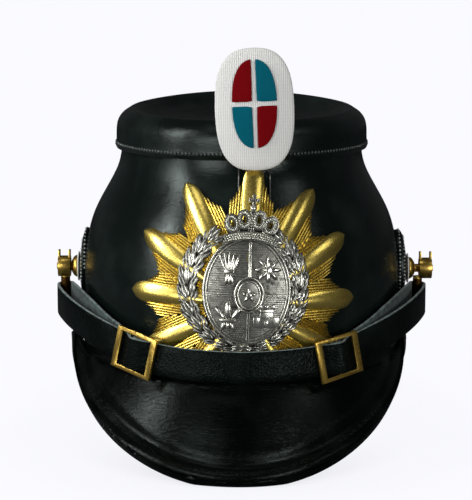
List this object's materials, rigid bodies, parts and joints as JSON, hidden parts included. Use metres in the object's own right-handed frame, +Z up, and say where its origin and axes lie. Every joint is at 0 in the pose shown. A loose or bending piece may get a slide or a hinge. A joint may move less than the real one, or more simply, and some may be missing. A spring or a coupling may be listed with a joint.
{
  "type": "shako",
  "caption": "Black leather shako with a bell-shaped crown, two peaks, a rayed gilt star plate with a silvered wreath and shield, a cloth cockade and a buckled chin strap.",
  "frame": {"origin": "on the surface that the hat rests on, below the middle of its bounding box", "axes": "+Z up, -Y the way the hat faces (front plate and front peak), +X its right-hand side as seen from in front"},
  "size_m": [0.2114, 0.2739, 0.2144],
  "materials": {
    "black_leather": "satin",
    "strap_leather": "matte",
    "gilt_brass": "polished",
    "aged_brass": "satin",
    "silvered": "polished",
    "steel_wire": "satin",
    "white_cloth": "matte",
    "red_cloth": "matte",
    "blue_cloth": "matte"
  },
  "bodies": {
    "root": {"arms_crown": "silvered", "buckle_left": "aged_brass", "buckle_right": "aged_brass", "chin_strap": "strap_leather", "cockade": "white_cloth", "cockade_wire": "steel_wire", "crown_shell": "black_leather", "crown_top": "black_leather", "field_blue_lower": "blue_cloth", "field_blue_upper": "blue_cloth", "field_red_lower": "red_cloth", "field_red_upper": "red_cloth", "front_peak": "black_leather", "front_plate": "gilt_brass", "post_left": "aged_brass", "post_right": "aged_brass", "rear_peak": "black_leather", "shield": "silvered", "side_boss_left": "black_leather", "side_boss_right": "black_leather", "strap_lug_left": "aged_brass", "strap_lug_right": "aged_brass", "washer_left": "silvered", "washer_right": "silvered", "wreath": "silvered"}
  },
  "joints": []
}
